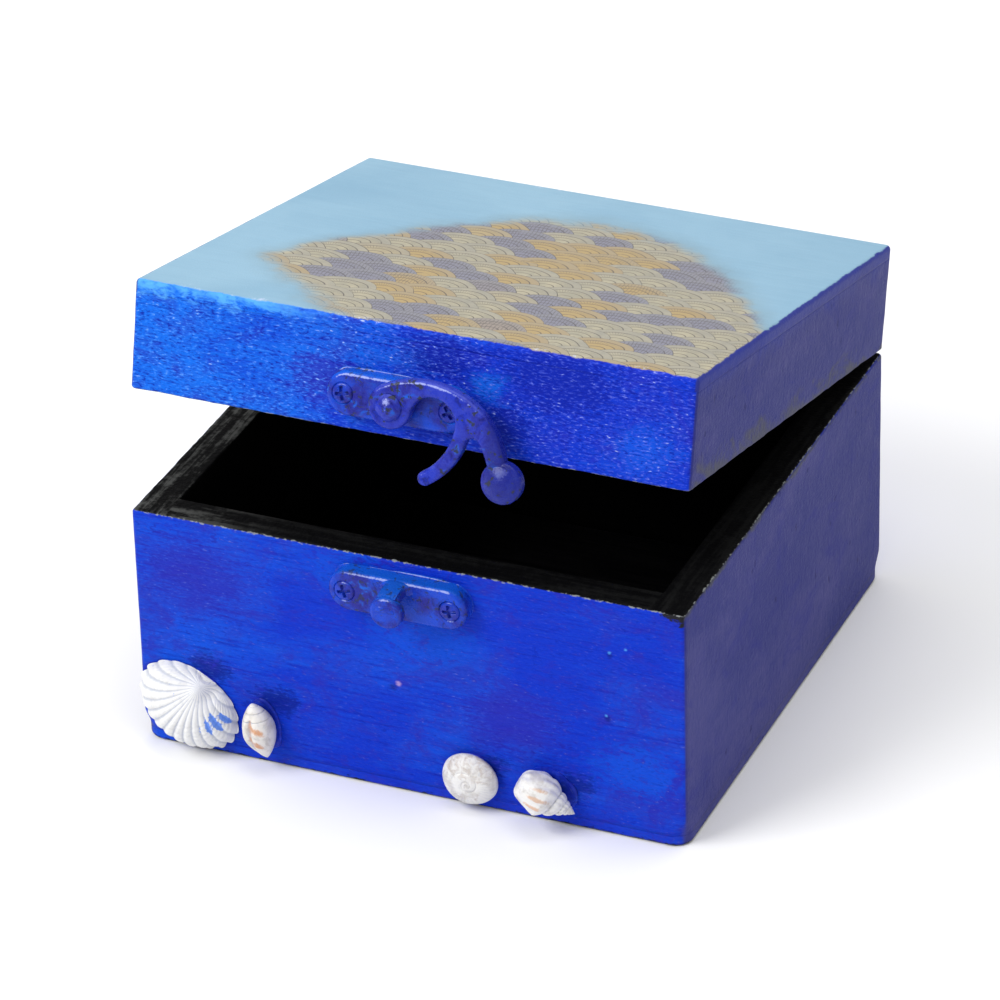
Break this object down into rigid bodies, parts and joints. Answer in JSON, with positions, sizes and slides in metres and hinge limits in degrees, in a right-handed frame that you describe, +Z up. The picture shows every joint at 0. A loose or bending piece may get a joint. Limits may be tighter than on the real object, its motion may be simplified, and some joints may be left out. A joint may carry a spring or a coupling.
{
  "type": "keepsake box",
  "caption": "Painted wooden keepsake box with a hinged lid standing ajar, a swing-hook latch that catches a keeper plate, and sea shells glued along the lower front.",
  "frame": {"origin": "middle of the underside of the base", "axes": "+X to the right along the front, +Y from the front to the back, +Z up"},
  "size_m": [0.1504, 0.1617, 0.1283],
  "materials": {
    "base_paint": "satin",
    "lid_paint": "satin",
    "top_paint": "satin",
    "floor_paint": "matte",
    "latch_paint": "satin",
    "screw_paint": "satin",
    "hinge_brass": "satin",
    "shell_white": "satin",
    "shell_ochre": "satin",
    "glue": "satin"
  },
  "bodies": {
    "base": {"base_front_wall": "base_paint", "base_back_wall": "base_paint", "base_left_wall": "base_paint", "base_right_wall": "base_paint", "base_floor_panel": "floor_paint", "catch_plate": "latch_paint", "catch_screws": "screw_paint", "cockle_shell": "shell_white", "olive_shell": "shell_ochre", "moon_shell": "shell_ochre", "whelk_shell": "shell_ochre", "shell_glue": "glue", "hinge_lower_screws": "hinge_brass", "hinge_left_lower_leaf": "hinge_brass", "hinge_left_pin": "hinge_brass", "hinge_right_lower_leaf": "hinge_brass", "hinge_right_pin": "hinge_brass"},
    "lid": {"lid_front_wall": "lid_paint", "lid_back_wall": "lid_paint", "lid_left_wall": "lid_paint", "lid_right_wall": "lid_paint", "lid_top_panel": "top_paint", "latch_plate": "latch_paint", "latch_screws": "screw_paint", "latch_rivet": "latch_paint", "hinge_upper_screws": "hinge_brass", "hinge_left_upper_leaf": "hinge_brass", "hinge_right_upper_leaf": "hinge_brass"},
    "hook": {"swing_hook": "latch_paint"}
  },
  "joints": [
    {"name": "lid_hinge", "type": "hinge", "parent": "base", "child": "lid", "pos_m": [0, 0.0742, 0.06795], "axis": [-1, 0, 0], "range_deg": [-12.9, 167.1]},
    {"name": "hook_swing", "type": "hinge", "parent": "lid", "child": "hook", "pos_m": [-0.0012, -0.07093, 0.11201], "axis": [0, -0.9748, 0.2233], "range_deg": [-70, 100]}
  ]
}
